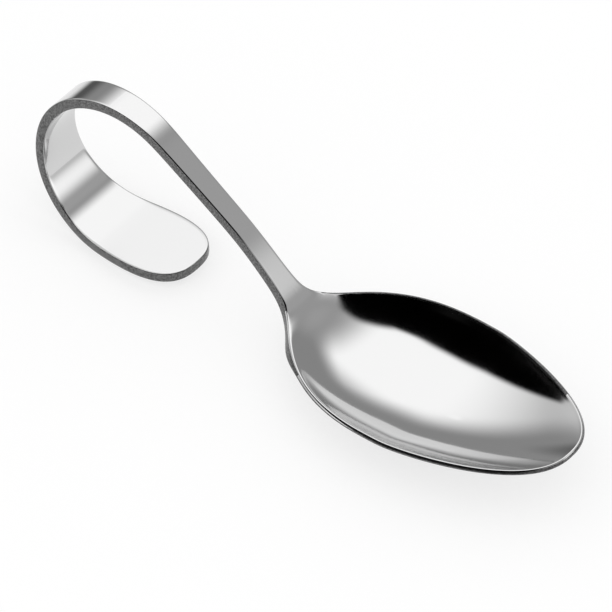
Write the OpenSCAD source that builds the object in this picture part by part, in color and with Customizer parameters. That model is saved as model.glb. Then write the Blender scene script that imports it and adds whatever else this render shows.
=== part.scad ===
// Curved handle tasting spoon, one piece of polished stainless steel.
//
// The spoon is one strip of metal, spread at one end into a bowl and at the other into a
// rounded tongue, and bent in the XZ plane. It is described along a walk on its upper face,
// which starts at the tip of the bowl, follows the rim back to the neck, climbs the handle,
// goes round the finger loop and ends at the tip of the tongue. In every cross-section
// "across" is the distance from the middle plane and "normal" points out of the upper face.
//
// +X is the tip of the bowl, +Z is up, and the spoon stands on the belly of the bowl and
// on the foot of the loop, with the origin under the middle of its length.

/* [Bowl] */
// Length of the bowl along the rim, from the tip to where the neck starts to bend
bowl_length = 57.9; // [52:0.1:70]
// Width of the bowl over its rim
bowl_width = 34.2; // [28:0.1:40]
// Depth of the bowl below its rim
bowl_depth = 7; // [5:0.1:10]
// How full the section of the bowl is: the sides stand steeper at the rim as this grows
wall_fullness = 0.6; // [0.1:0.05:0.7]
// Distance from the tip to the widest place of the bowl
widest_at = 29.5; // [25:0.5:35]
// Distance from the tip to the deepest place of the bowl
deepest_at = 32; // [26:0.5:38]
// How far the sides of the bowl aim past the start of the neck
root_overrun = 5.2; // [2:0.1:8]
// Size of the hollow fillet between the bowl's shoulder and the neck
shoulder_fillet = 3; // [1:0.1:6]
// How much the rim curves up from the neck to the tip, in degrees
rim_sweep = 6.5; // [0:0.5:14]
// How far the floor of the bowl rises past the start of the neck
floor_overrun = 1; // [0:0.1:4]
// Length over which the floor runs out into the neck
floor_ease = 5; // [3:0.5:12]

/* [Neck and handle] */
// Angle by which the neck turns up out of the bowl
neck_bend = 41.9; // [30:0.1:50]
// Inner radius of the neck bend, before easing
neck_radius = 5.7; // [1:0.1:10]
// Straight length above the neck bend
shank_length = 9.7; // [4:0.1:14]
// Angle by which the handle bows back down above the shank
brow_bend = 9; // [4:0.1:16]
// Radius of that bow
brow_radius = 60.3; // [40:0.1:90]
// Straight length of the handle below the loop
handle_length = 18.2; // [12:0.1:28]
// Width of the neck, which is the narrowest place of the spoon
neck_width = 4.09; // [3:0.01:7]

/* [Finger loop] */
// Angle turned by the upper bend of the loop
crown_bend = 134.9; // [120:0.1:150]
// Radius of the upper bend, on the outer face
crown_radius = 18.2; // [14:0.1:22]
// Angle turned by the lower bend of the loop
foot_bend = 82.9; // [66:0.1:92]
// Radius of the lower bend, on the outer face
foot_radius = 15.2; // [11:0.1:19]
// Length over which a bend starts and ends
bend_ease = 5.4; // [3:0.1:9]

/* [Tongue] */
// Straight length of the tongue under the handle
tongue_length = 18.2; // [14:0.1:22]
// Width that the taper has reached where the rounding of the end begins
tongue_width = 13.5; // [9:0.1:18]
// Length of the rounded end
tongue_round = 23.8; // [14:0.1:26]
// How late the handle widens: 1 is a straight taper
taper_power = 2.84; // [1.5:0.01:4]

/* [Thickness] */
// Thickness of the bowl at its rim
rim_thickness = 0.99; // [0.7:0.01:1.3]
// Thickness of the bowl at its belly
belly_thickness = 1.4; // [0.9:0.05:1.8]
// Thickness of the neck
neck_thickness = 2.19; // [1.6:0.01:3]
// Thickness of the tongue
tongue_thickness = 2.03; // [1.4:0.01:2.5]
// Length over which the rim gains the thickness of the neck
thickness_run = 8; // [4:0.5:20]
// Radius of the tumbled edges
edge_radius = 0.25; // [0.1:0.01:0.33]

/* [Hidden] */

// Powers that give the bowl its egg-shaped outline, its floor the rise to the neck, and the
// tongue its round end
nose_taper = 1.28;
nose_round = 2.34;
root_taper = 2.96;
floor_power = 2.5;
tongue_power = 2.63;
// Length behind the widest place over which the shoulder fillet comes in
fillet_run = 8;

// Step of the walk, and the part of a step used to measure a slope
walk_step = 0.5;
probe = 0.01;
// Spacing of the rings, and how they close up over the length of each end
ring_step = 1.6;
end_length = 8;
end_rings = 10;
end_power = 2.4;
// Faces across the spoon, and the angle between the faces of a rounded edge
columns = 16;
edge_turn = 45;
// Turns that bring the spoon level on its belly and foot
level_turns = 6;
tiny = 0.001;

// Length of an arc
function arc(angle, radius) = angle * PI / 180 * radius;

// Each bend is [where it starts, its length, its angle]; a positive angle turns up
neck_start = bowl_length;
neck_end = neck_start + arc(neck_bend, neck_radius);
brow_start = neck_end + shank_length;
brow_end = brow_start + arc(brow_bend, brow_radius);
crown_start = brow_end + handle_length;
crown_end = crown_start + arc(crown_bend, crown_radius);
foot_end = crown_end + arc(foot_bend, foot_radius);
walk_length = foot_end + tongue_length;
bends = [
    [0, bowl_length, rim_sweep],
    [neck_start, neck_end - neck_start, neck_bend],
    [brow_start, brow_end - brow_start, -brow_bend],
    [crown_start, crown_end - crown_start, -crown_bend],
    [crown_end, foot_end - crown_end, -foot_bend],
];

function sum(list) = list * [for (i = list) 1];
function unit(v) = v / norm(v);
function smooth(t) = let (u = min(max(t, 0), 1)) u * u * (3 - 2 * u);

// Share of a bend that is done at a distance past its start. The curvature grows and
// fades over bend_ease, so that the faces reflect without a break.
function area_under(u, len) = u < 0 ? 0 : u < len ? u * u / 2 : len * (u - len / 2);
function turned(u, len) =
    (area_under(u + bend_ease / 2, len) - area_under(u - bend_ease / 2, len)) / (bend_ease * len);

// Slope of the walk at a distance from the tip, and its direction in the XZ plane
function slope(s) = -rim_sweep + sum([for (b = bends) b[2] * turned(s - b[0], b[1])]);
function ahead(angle) = [-cos(angle), sin(angle)];

// Points of the walk, added up step by step from the tip
steps = ceil(walk_length / walk_step);
walk = [
    for (i = 0, p = [0, 0]; i <= steps; p = p + walk_step * ahead(slope((i + 0.5) * walk_step)), i = i + 1)
        p
];
function walk_at(s) =
    let (i = min(max(floor(s / walk_step), 0), steps), rest = s - i * walk_step)
    walk[i] + rest * ahead(slope(s - rest / 2));

// Half of the width. The bowl narrows to its tip in front of the widest place and to its
// root behind it; the strip is narrowest at the neck and widens to the tongue.
function bowl_half(s) = bowl_width / 2 * (s < widest_at
    ? pow(max(1 - pow(1 - s / widest_at, nose_taper), 0), 1 / nose_round)
    : 1 - pow((s - widest_at) / (bowl_length + root_overrun - widest_at), root_taper));
function strip_half(s) =
    let (t = max(s - bowl_length, 0) / (walk_length - tongue_round - bowl_length))
    (neck_width + (tongue_width - neck_width) * pow(t, taper_power)) / 2;
function filleted(a, b) = (a + b + sqrt(pow(a - b, 2) + pow(shoulder_fillet, 2))) / 2;
function tongue_end(s) =
    let (t = min((walk_length - s) / tongue_round, 1))
    pow(max(1 - pow(1 - t, tongue_power), 0), 1 / tongue_power);
function half_width(s) =
    let (bowl = bowl_half(s), blend = smooth((s - widest_at) / fillet_run))
    s < widest_at ? bowl : (bowl + (filleted(bowl, strip_half(s)) - bowl) * blend) * tongue_end(s);

// Growth of the half width along the walk, which is endless at the two tips
function flare(s) =
    let (e = min(probe, s / 2, (walk_length - s) / 2))
    s <= 0 ? 1 / tiny
    : s >= walk_length ? -1 / tiny
    : (half_width(s + e) - half_width(s - e)) / (2 * e);

// Nothing below -ease, the value itself above ease, and a smooth join between
function joined(u, ease) =
    let (v = min(max((u / ease + 1) / 2, 0), 1))
    u > ease ? u : 2 * ease * (pow(v, 3) - pow(v, 4) / 2);

// Depth of the bowl along its middle, which runs out into the neck
floor_run = bowl_length + floor_overrun - deepest_at;
floor_share = floor_ease / floor_run;
function middle_depth(s) = bowl_depth * (s < deepest_at
    ? 1 - pow(1 - s / deepest_at, 2)
    : joined(1 - pow((s - deepest_at) / floor_run, floor_power), floor_share));

// Section of the bowl, part of an ellipse: its depth and its slope at a share of the half width
rim_level = sqrt(1 - wall_fullness);
function section(t) = (sqrt(1 - wall_fullness * t * t) - rim_level) / (1 - rim_level);
function section_slope(t) = -wall_fullness * t / sqrt(1 - wall_fullness * t * t) / (1 - rim_level);
function sag(s, across) = middle_depth(s) * section(across / max(half_width(s), tiny));

// Slopes of the upper face, along the walk and across it
function dip_along(s, across) =
    let (e = min(probe, s / 2))
    e < tiny ? 2 * bowl_depth / deepest_at : (sag(s + e, across) - sag(s - e, across)) / (2 * e);
function dip_across(s, across) =
    let (w = half_width(s))
    w < tiny ? 0 : middle_depth(s) / w * section_slope(across / w);

// Thickness at the edge, along the middle and anywhere between
function strip_thickness(s) = neck_thickness + (tongue_thickness - neck_thickness)
    * max(s - bowl_length, 0) / (walk_length - bowl_length);
function edge_thickness(s) = rim_thickness
    + (strip_thickness(s) - rim_thickness) * smooth((s - bowl_length + thickness_run) / thickness_run);
function middle_thickness(s) = s < deepest_at
    ? rim_thickness + (belly_thickness - rim_thickness) * smooth(s / deepest_at)
    : belly_thickness + (strip_thickness(s) - belly_thickness)
        * smooth((s - deepest_at) / (bowl_length - deepest_at));
function thickness(s, across) =
    let (t = pow(across / max(half_width(s), tiny), 2))
    middle_thickness(s) * (1 - t) + edge_thickness(s) * t;

// From [along, across, normal] at a distance on the walk to [X, Y, Z]
function turned_out(s, v) =
    let (a = slope(s)) [-v[0] * cos(a) + v[2] * sin(a), v[1], v[0] * sin(a) + v[2] * cos(a)];
function upper_face(s, across) =
    let (p = walk_at(s)) [p[0], 0, p[1]] + turned_out(s, [0, across, -sag(s, across)]);
function face_normal(s, across) =
    turned_out(s, unit([dip_along(s, across), dip_across(s, across), 1]));

// The rounded edge at a station, from the upper face down: its outward direction lies in
// the face and square to the outline
function outward(s) =
    let (y = half_width(s), m = unit([-flare(s), 1]))
    unit([m[0], m[1], -dip_along(s, y) * m[0] - dip_across(s, y) * m[1]]);
function edge_points(s) =
    let (y = half_width(s), out = turned_out(s, outward(s)), up = face_normal(s, y),
         top = upper_face(s, y) - edge_radius * (out + up),
         bottom = top - (edge_thickness(s) - 2 * edge_radius) * up)
    concat([for (a = [90 - edge_turn : -edge_turn : 0])
                top + edge_radius * (cos(a) * out + sin(a) * up)],
           [for (a = [0 : edge_turn : 90 - edge_turn])
                bottom + edge_radius * (cos(a) * out - sin(a) * up)]);

// A ring of points round the spoon at a station: across the upper face, down one edge,
// back across the under face and up the other edge
function mirrored(points) =
    [for (i = [len(points) - 1 : -1 : 0]) [points[i][0], -points[i][1], points[i][2]]];
function under_face(s, across) =
    upper_face(s, across) - thickness(s, across) * face_normal(s, across);
function ring(s) =
    let (out = outward(s), inner = s - edge_radius * out[0], y = half_width(s) - edge_radius * out[1],
         side = edge_points(s))
    concat([for (i = [0 : columns]) upper_face(inner, y * (2 * i / columns - 1))],
           side,
           [for (i = [columns : -1 : 0]) under_face(inner, y * (2 * i / columns - 1))],
           mirrored(side));

// The two ends of the spoon are a point across, so their rings close to one column
function column(s) =
    let (out = outward(s), inner = s - edge_radius * out[0])
    concat([upper_face(inner, 0)], edge_points(s), [under_face(inner, 0)]);

// Stations of the rings, close together where the outline turns round an end
middle_rings = ceil((walk_length - 2 * end_length) / ring_step);
end_stations = [for (i = [0 : end_rings - 1]) end_length * pow(i / end_rings, end_power)];
stations = concat(end_stations,
    [for (i = [0 : middle_rings]) end_length + (walk_length - 2 * end_length) * i / middle_rings],
    [for (i = [end_rings - 1 : -1 : 0]) walk_length - end_stations[i]]);
last = len(stations) - 1;

points = concat(
    column(stations[0]),
    [for (i = [1 : last - 1]) each ring(stations[i])],
    column(stations[last]));

// Faces between neighbouring rings. A ring of an end uses its column for both edges.
edge_count = 2 * ceil(90 / edge_turn);
ring_count = 2 * (columns + 1 + edge_count);
function in_column(k) =
    k <= columns ? 0
    : k <= columns + edge_count ? k - columns
    : k <= 2 * columns + 1 + edge_count ? edge_count + 1
    : ring_count - k;
function vertex(i, k) =
    let (j = k % ring_count)
    i == 0 ? in_column(j)
    : edge_count + 2 + (i - 1) * ring_count + (i == last ? in_column(j) : j);
function distinct(f) = f[0] != f[1] && f[1] != f[2] && f[2] != f[0];
faces = [
    for (i = [0 : last - 1], k = [0 : ring_count - 1])
        let (a = vertex(i, k), b = vertex(i, k + 1))
        let (c = vertex(i + 1, k + 1), d = vertex(i + 1, k))
        each [for (f = [[a, c, b], [a, d, c]]) if (distinct(f)) f]
];

// The spoon comes to rest on its belly and on the foot of its loop. The line through
// the two lowest points is turned level, again and again until they stay the same.
belly = [for (s = [0 : walk_step : bowl_length]) let (p = under_face(s, 0)) [p[0], p[2]]];
foot = [for (i = [floor(crown_end / walk_step) : steps]) walk[i]];
function height(p, a) = p[0] * sin(a) + p[1] * cos(a);
function lowest(list, a) =
    let (heights = [for (p = list) height(p, a)])
    list[search(min(heights), heights)[0]];
function rest_angle(a, turns) =
    turns == 0 ? a
    : let (d = lowest(belly, a) - lowest(foot, a)) rest_angle(-atan2(d[1], d[0]), turns - 1);
rest = rest_angle(0, level_turns);
laid = [for (p = points) [p[0] * cos(rest) - p[2] * sin(rest), p[1], height([p[0], p[2]], rest)]];
xs = [for (p = laid) p[0]];
zs = [for (p = laid) p[2]];
origin = [(min(xs) + max(xs)) / 2, 0, min(zs)];

module spoon() {
    color("silver")
    polyhedron(points = [for (p = laid) p - origin], faces = faces);
}

spoon();
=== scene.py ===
# A curved handle spoon of polished stainless steel, on a white table in a soft light tent.
import math

import bpy
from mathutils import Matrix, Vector


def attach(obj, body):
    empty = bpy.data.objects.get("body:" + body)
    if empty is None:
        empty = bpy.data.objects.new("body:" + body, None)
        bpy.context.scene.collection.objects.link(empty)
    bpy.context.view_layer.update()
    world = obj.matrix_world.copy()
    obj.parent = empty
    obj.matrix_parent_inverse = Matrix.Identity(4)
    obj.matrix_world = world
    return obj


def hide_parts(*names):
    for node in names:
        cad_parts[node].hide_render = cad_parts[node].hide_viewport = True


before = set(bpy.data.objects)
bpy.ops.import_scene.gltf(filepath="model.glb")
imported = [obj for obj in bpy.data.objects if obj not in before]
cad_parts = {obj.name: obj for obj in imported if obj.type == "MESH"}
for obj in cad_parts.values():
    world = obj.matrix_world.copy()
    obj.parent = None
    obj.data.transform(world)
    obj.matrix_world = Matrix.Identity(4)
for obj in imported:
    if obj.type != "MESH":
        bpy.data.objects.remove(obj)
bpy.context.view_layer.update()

MM = 0.001
WHITE = (1, 1, 1, 1)
scene = bpy.context.scene
scene.view_settings.view_transform = "Standard"


def linear(code):
    """Linear colour of an sRGB hex value."""
    parts = [int(code[i:i + 2], 16) / 255 for i in (0, 2, 4)]
    return [c / 12.92 if c <= 0.04045 else ((c + 0.055) / 1.055) ** 2.4 for c in parts] + [1]


def add(tree, kind, inputs=None, **settings):
    """A node with its settings; an input is a value or the socket that feeds it."""
    made = tree.nodes.new(kind)
    for name, value in settings.items():
        setattr(made, name, value)
    for name, value in (inputs or {}).items():
        if isinstance(value, bpy.types.NodeSocket):
            tree.links.new(value, made.inputs[name])
        else:
            made.inputs[name].default_value = value
    return made


def new_material(name):
    """An empty material, with its node tree and its output node."""
    material = bpy.data.materials.new(name)
    material.use_nodes = True
    tree = material.node_tree
    tree.nodes.clear()
    return material, tree, add(tree, "ShaderNodeOutputMaterial")


# ---- camera: the photo's angle, fitted to the spoon's outlines ----
CAMERA_AZIMUTH = math.radians(39.199)
CAMERA_ELEVATION = math.radians(46.455)
CAMERA_DISTANCE = 1093.1 * MM
CAMERA_LENS = 358.4
CAMERA_FAR_END = 10
SENSOR_WIDTH = 36
AIM = Vector((0, 0, 8.846)) * MM
back = Vector((
    math.sin(CAMERA_AZIMUTH) * math.cos(CAMERA_ELEVATION),
    -math.cos(CAMERA_AZIMUTH) * math.cos(CAMERA_ELEVATION),
    math.sin(CAMERA_ELEVATION),
))
bpy.ops.object.camera_add(
    location=AIM + back * CAMERA_DISTANCE,
    rotation=back.to_track_quat("Z", "Y").to_euler(),
)
scene.camera = bpy.context.object
scene.camera.data.lens = CAMERA_LENS
scene.camera.data.sensor_width = SENSOR_WIDTH
scene.camera.data.clip_end = CAMERA_FAR_END


# ---- polished stainless steel ----
# 18/10 stainless steel, pressed and polished with a fine mop. It mirrors softly: light edges
# stay readable and blur a little, and the mop leaves a faint unevenness of a few millimetres.
MOP_CLOUD = 9 * MM
MOP_PEEL = 3 * MM
PEEL_HEIGHT = 0.1 * MM
polished, tree, out = new_material("polished_stainless_steel")
place = add(tree, "ShaderNodeTexCoord").outputs["Object"]
cloud = add(tree, "ShaderNodeTexNoise", {"Vector": place, "Scale": 1 / MOP_CLOUD, "Detail": 3.0})
rough = add(tree, "ShaderNodeMapRange", {
    "Value": cloud.outputs["Fac"], "To Min": 0.05, "To Max": 0.1,
})
peel = add(tree, "ShaderNodeTexNoise", {"Vector": place, "Scale": 1 / MOP_PEEL, "Detail": 2.0})
bump = add(tree, "ShaderNodeBump", {
    "Height": peel.outputs["Fac"], "Strength": 0.02, "Distance": PEEL_HEIGHT,
})
steel = add(tree, "ShaderNodeBsdfPrincipled", {
    "Base Color": linear("D0D0D0"), "Metallic": 1.0,
    "Roughness": rough.outputs["Result"], "Normal": bump.outputs["Normal"],
})
tree.links.new(steel.outputs["BSDF"], out.inputs["Surface"])

# ---- cut edge of the same steel ----
# The strip's cut edge is tumbled round and hardly mopped, so it is duller than the faces, with a
# tooth from the tumbling stones. Its dark greys are painted shade, standing in for the dark
# surroundings that the edge would reflect. The real tooth is too fine to show in the picture, so
# it is drawn 0.3 mm coarse.
TOOTH = 0.3 * MM
TOOTH_HEIGHT = 0.02 * MM
edge, tree, out = new_material("tumbled_edge_steel_painted_shade")
place = add(tree, "ShaderNodeTexCoord").outputs["Object"]
tooth = add(tree, "ShaderNodeTexNoise", {"Vector": place, "Scale": 1 / TOOTH, "Detail": 2.0})
bump = add(tree, "ShaderNodeBump", {
    "Height": tooth.outputs["Fac"], "Strength": 0.15, "Distance": TOOTH_HEIGHT,
})
grain = add(tree, "ShaderNodeMapRange", {
    "Value": tooth.outputs["Fac"], "From Min": 0.3, "From Max": 0.7,
})
# Painted shade: two dark greys, speckled by the tooth, stand in for a dark reflection
speckle_and_painted_shade = add(tree, "ShaderNodeMixRGB", {
    "Fac": grain.outputs["Result"], "Color1": linear("404040"), "Color2": linear("808080"),
})
steel = add(tree, "ShaderNodeBsdfPrincipled", {
    "Base Color": speckle_and_painted_shade.outputs["Color"], "Metallic": 1.0,
    "Roughness": 0.22, "Normal": bump.outputs["Normal"],
})
tree.links.new(steel.outputs["BSDF"], out.inputs["Surface"])

# ---- the spoon: the CAD solid, merged to four-sided faces and smoothed ----
MERGE_DISTANCE = 0.001 * MM
# Two triangles become one four-sided face up to this bend between them, whatever its shape
QUAD_BEND = math.radians(60)
QUAD_SKEW = math.radians(180)
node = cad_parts["spoon"]
spoon = bpy.data.objects.new("spoon_steel", node.data.copy())
scene.collection.objects.link(spoon)
bpy.ops.object.select_all(action="DESELECT")
spoon.select_set(True)
bpy.context.view_layer.objects.active = spoon
spoon.data.materials.clear()
spoon.data.materials.append(polished)
spoon.data.materials.append(edge)
bpy.ops.object.mode_set(mode="EDIT")
bpy.ops.mesh.select_all(action="SELECT")
bpy.ops.mesh.remove_doubles(threshold=MERGE_DISTANCE)
bpy.ops.mesh.tris_convert_to_quads(face_threshold=QUAD_BEND, shape_threshold=QUAD_SKEW)
bpy.ops.mesh.select_mode(type="FACE")


def joined_faces(near, turn, facing=0):
    """Numbers of the faces that join the one nearest a point without a sharper turn.

    Facing 1 starts from a face that looks up, and -1 from one that looks down.
    """
    bpy.ops.mesh.select_all(action="DESELECT")
    bpy.ops.object.mode_set(mode="OBJECT")
    faces = spoon.data.polygons
    first = min(faces, key=lambda p: (p.center - near).length + (facing * p.normal.z < 0))
    first.select = True
    bpy.ops.object.mode_set(mode="EDIT")
    bpy.ops.mesh.faces_select_linked_flat(sharpness=math.radians(turn))
    bpy.ops.object.mode_set(mode="OBJECT")
    found = {p.index for p in spoon.data.polygons if p.select}
    bpy.ops.object.mode_set(mode="EDIT")
    return found


# A point on each of the bowl's floor, the rim's flat and the rim's crest
BOWL_FLOOR = Vector((28, 0, 2)) * MM
RIM_SIDE = Vector((28.9, -17.5, 8.4)) * MM
RIM_CREST = Vector((28.9, -17.2, 8.6)) * MM
# Degrees between neighbours: within one face, and on to the first of the rounding at its edge
FACE_TURN = 10
ROUNDING_TURN = 25


def both_faces(turn):
    """The upper and the under face, up to a turn of some degrees."""
    return joined_faces(BOWL_FLOOR, turn, 1) | joined_faces(BOWL_FLOOR, turn, -1)


# Besides the two wide faces the polished steel goes on the first of the rounding on the strip,
# the flat of the bowl's rim in the half next to the neck, and the rim's crest on one side and
# round the tip. The rest of the rim gets the dark edge steel as painted shade; the real rim is
# polished all round.
STRIP_END = 0
RIM_FLAT_START = 9 * MM
RIM_FLAT_END = 25 * MM
TIP_START = 50 * MM
mopped = both_faces(FACE_TURN)
rounding = both_faces(ROUNDING_TURN)
rim_flat = joined_faces(RIM_SIDE, FACE_TURN)
rim_top = joined_faces(RIM_CREST, FACE_TURN)
bpy.ops.object.mode_set(mode="OBJECT")
# Painted light and shade on the rim: only its flat next to the neck, its crest on the south side
# and its tip get the bright steel
for p in spoon.data.polygons:
    on_strip = p.index in rounding and p.center.x < STRIP_END
    on_flat = p.index in rim_flat and RIM_FLAT_START < p.center.x < RIM_FLAT_END
    on_crest = p.index in rim_top or p.index in rounding and p.normal.z > 0
    on_crest = on_crest and (p.center.y < 0 or p.center.x > TIP_START)
    bright = p.index in mopped or on_strip or on_flat or on_crest
    p.material_index = 0 if bright else 1
    p.select = False
spoon.data.shade_smooth()

spoon.modifiers.new("rounding", "SUBSURF")
spoon.modifiers["rounding"].levels = 1
spoon.modifiers["rounding"].render_levels = 1
bpy.ops.object.modifier_apply(modifier="rounding")
# The wide faces keep their own slope right up to the rounded corners
spoon.modifiers.new("corners", "WEIGHTED_NORMAL")
spoon.modifiers["corners"].mode = "FACE_AREA"
spoon.modifiers["corners"].weight = 50
spoon.modifiers["corners"].thresh = 0.01
bpy.ops.object.modifier_apply(modifier="corners")
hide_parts("spoon")
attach(spoon, "root")

# ---- table: white, and it keeps a faint shadow ----
TABLE_RADIUS = 132 * MM
# The table lies a hair below the spoon, so that the two never share a plane
TABLE_HEIGHT = -0.05 * MM
# The share of the table's white that is its own. The rest is paint, which takes the shadow.
TABLE_GLOW = 0.6
bpy.ops.mesh.primitive_circle_add(
    vertices=128, radius=TABLE_RADIUS, fill_type="NGON", location=(0, 0, TABLE_HEIGHT),
)
table = bpy.context.object
table.name = "table"
white, tree, out = new_material("white_table")
ray = add(tree, "ShaderNodeLightPath").outputs
seen = add(tree, "ShaderNodeMath", {
    0: ray["Is Camera Ray"], 1: ray["Is Glossy Ray"],
}, operation="ADD")
seen = add(tree, "ShaderNodeMath", {
    0: seen.outputs[0], 1: ray["Is Transmission Ray"],
}, operation="ADD")
share = add(tree, "ShaderNodeMath", {0: seen.outputs[0], 1: TABLE_GLOW}, operation="MULTIPLY")
paint = add(tree, "ShaderNodeBsdfDiffuse", {"Color": linear("FFFFFF")})
glow = add(tree, "ShaderNodeEmission", {"Color": WHITE, "Strength": 1.0})
mix = add(tree, "ShaderNodeMixShader", {
    0: share.outputs[0], 1: paint.outputs[0], 2: glow.outputs[0],
})
tree.links.new(mix.outputs[0], out.inputs["Surface"])
table.data.materials.append(white)

# ---- light tent: white cloth round the table, which only the metal sees ----
TENT_RADIUS = 1.6
bpy.ops.mesh.primitive_uv_sphere_add(
    segments=64, ring_count=32, radius=TENT_RADIUS, location=(0, 0, 0),
)
tent = bpy.context.object
tent.name = "tent"
tent.visible_camera = tent.visible_diffuse = tent.visible_shadow = False
cloth, tree, out = new_material("tent_cloth")
# A place on the cloth is given in degrees from straight up, east and north of it
spot = add(tree, "ShaderNodeTexCoord").outputs["Object"]
spot = add(tree, "ShaderNodeVectorMath", {0: spot}, operation="NORMALIZE").outputs["Vector"]
rise = add(tree, "ShaderNodeSeparateXYZ", {0: spot}).outputs["Z"]
fall = add(tree, "ShaderNodeMath", {0: rise}, operation="ARCCOSINE").outputs[0]
fall = add(tree, "ShaderNodeMath", {
    0: fall, 1: math.degrees(1),
}, operation="MULTIPLY").outputs[0]
plan = add(tree, "ShaderNodeVectorMath", {
    0: spot, 1: (1, 1, 0),
}, operation="MULTIPLY").outputs["Vector"]
plan = add(tree, "ShaderNodeVectorMath", {0: plan}, operation="NORMALIZE").outputs["Vector"]
place = add(tree, "ShaderNodeVectorMath", {
    0: plan, "Scale": fall,
}, operation="SCALE").outputs["Vector"]

EAST, WEST, NORTH, SOUTH = (1, 0), (-1, 0), (0, 1), (0, -1)
SOUTH_EAST, SOUTH_WEST = (0.707, -0.707), (-0.707, -0.707)


def soft_edge(value, start, end):
    """0 at the start, 1 at the end, soft between."""
    return add(tree, "ShaderNodeMapRange", {
        "Value": value, "From Min": start, "From Max": end,
    }, interpolation_type="SMOOTHSTEP").outputs["Result"]


def oval(centre, size, inner, outer):
    """1 within the share inner of an oval on the cloth, 0 past the share outer."""
    off = add(tree, "ShaderNodeVectorMath", {
        0: place, 1: (*centre, 0),
    }, operation="SUBTRACT").outputs["Vector"]
    off = add(tree, "ShaderNodeVectorMath", {
        0: off, 1: (*size, 1),
    }, operation="DIVIDE").outputs["Vector"]
    far = add(tree, "ShaderNodeVectorMath", {0: off}, operation="LENGTH").outputs["Value"]
    return soft_edge(far, outer, inner)


def beyond(way, start, end):
    """0 before the distance start along a way over the cloth, 1 past the distance end."""
    far = add(tree, "ShaderNodeVectorMath", {
        0: place, 1: (*way, 0),
    }, operation="DOT_PRODUCT").outputs["Value"]
    return soft_edge(far, start, end)


def overlap(first, second):
    """What lies in both patches of cloth, or a patch at a share of its light."""
    return add(tree, "ShaderNodeMath", {0: first, 1: second}, operation="MULTIPLY").outputs[0]


def either(first, second):
    """What lies in one patch of cloth or the other."""
    return add(tree, "ShaderNodeMath", {0: first, 1: second}, operation="MAXIMUM").outputs[0]


def outside(patch):
    """The cloth round a patch."""
    return add(tree, "ShaderNodeMath", {0: 1.0, 1: patch}, operation="SUBTRACT").outputs[0]


def lit(level, patch, gain):
    """The light of the cloth with more, or less, of it behind a patch."""
    return add(tree, "ShaderNodeMath", {
        0: patch, 1: gain, 2: level,
    }, operation="MULTIPLY_ADD").outputs[0]


# The light of the cloth by itself and with the lamps behind it, where 1 is plain white. The
# steel returns 63 % of it, and the photo shows the big lamp in it as white.
CLOTH = 0.35
BIG_LAMP = 1.1
TONGUE_LAMP = 1.4

# The big lamp shines through the roof, west of the ridge, and fades at its five sides
big = overlap(beyond(EAST, -81, -31), beyond(WEST, -24, -4))
big = overlap(big, beyond(SOUTH, -72, -42))
big = overlap(big, beyond(SOUTH_EAST, -70, -48))
big = overlap(big, beyond(SOUTH_WEST, -46, -34))
level = lit(CLOTH, big, BIG_LAMP)

# Lighter and darker ovals: centre, size, where the edge starts and ends, and the gain
for centre, size, inner, outer, gain in (
    ((-77, -5), (19, 48), 0.1, 1.0, 0.42),   # light from outside, low in the west
    ((-83, 47), (22, 12), 0.2, 1.1, -0.23),  # the north-west corner
    ((-42, 92), (34, 14), 0.3, 1.0, -0.28),  # the foot of the north wall
    ((64, 33), (27, 19), 0.3, 1.05, 0.95),   # the second lamp, low in the east
):
    level = lit(level, oval(centre, size, inner, outer), gain)
# A small lamp beside the big one, which whitens the flat of the handle's tongue
level = either(level, overlap(oval((-38, 34), (5, 5), 0.4, 1.0), TONGUE_LAMP))
# East of the ridge the cloth is lighter, in two steps
level = lit(level, beyond(EAST, 13, 30), 0.15)
level = lit(level, beyond(EAST, 60, 79), 0.16)

# The open front of the tent, with the dark room beyond: all that is south of the roof's edge,
# which runs further north in the east. The cloth closes again in the west, far in the east and
# far in the south.
corner = overlap(beyond(SOUTH_EAST, 3.7, 9.7), beyond(SOUTH, -28, -22))
corner = either(corner, beyond((0.383, -0.924), 6, 11))
roof = overlap(outside(beyond((-0.06, -0.998), 10.8, 16.8)), outside(corner))
west = either(beyond((-0.8, -0.6), 63, 64.5), beyond(WEST, 64, 66))
front = overlap(outside(roof), outside(west))
front = overlap(front, overlap(beyond(WEST, -46, -36), beyond(NORTH, -80, -62)))
level = overlap(level, outside(front))
# Low in the front, the room is a little lighter
ROOM = 0.07
level = lit(level, overlap(front, beyond(SOUTH, 39, 46)), ROOM)

# Below the table's height the cloth is nearly as white as the table, and in the east that
# starts a little higher
LOW_CLOTH = 0.9
low = soft_edge(fall, 95, 108)
haze = soft_edge(fall, 88, 97)
low = either(low, overlap(haze, beyond(EAST, 20, 40)))
level = overlap(level, outside(low))
level = lit(level, low, LOW_CLOTH)
shine = add(tree, "ShaderNodeEmission", {"Color": WHITE, "Strength": level})
tree.links.new(shine.outputs[0], out.inputs["Surface"])
tent.data.materials.append(cloth)

# ---- the room's even light ----
scene.world = bpy.data.worlds.new("even_light")
scene.world.use_nodes = True
tree = scene.world.node_tree
tree.nodes["Background"].inputs["Color"].default_value = WHITE
tree.nodes["Background"].inputs["Strength"].default_value = 1.0

bpy.context.view_layer.update()
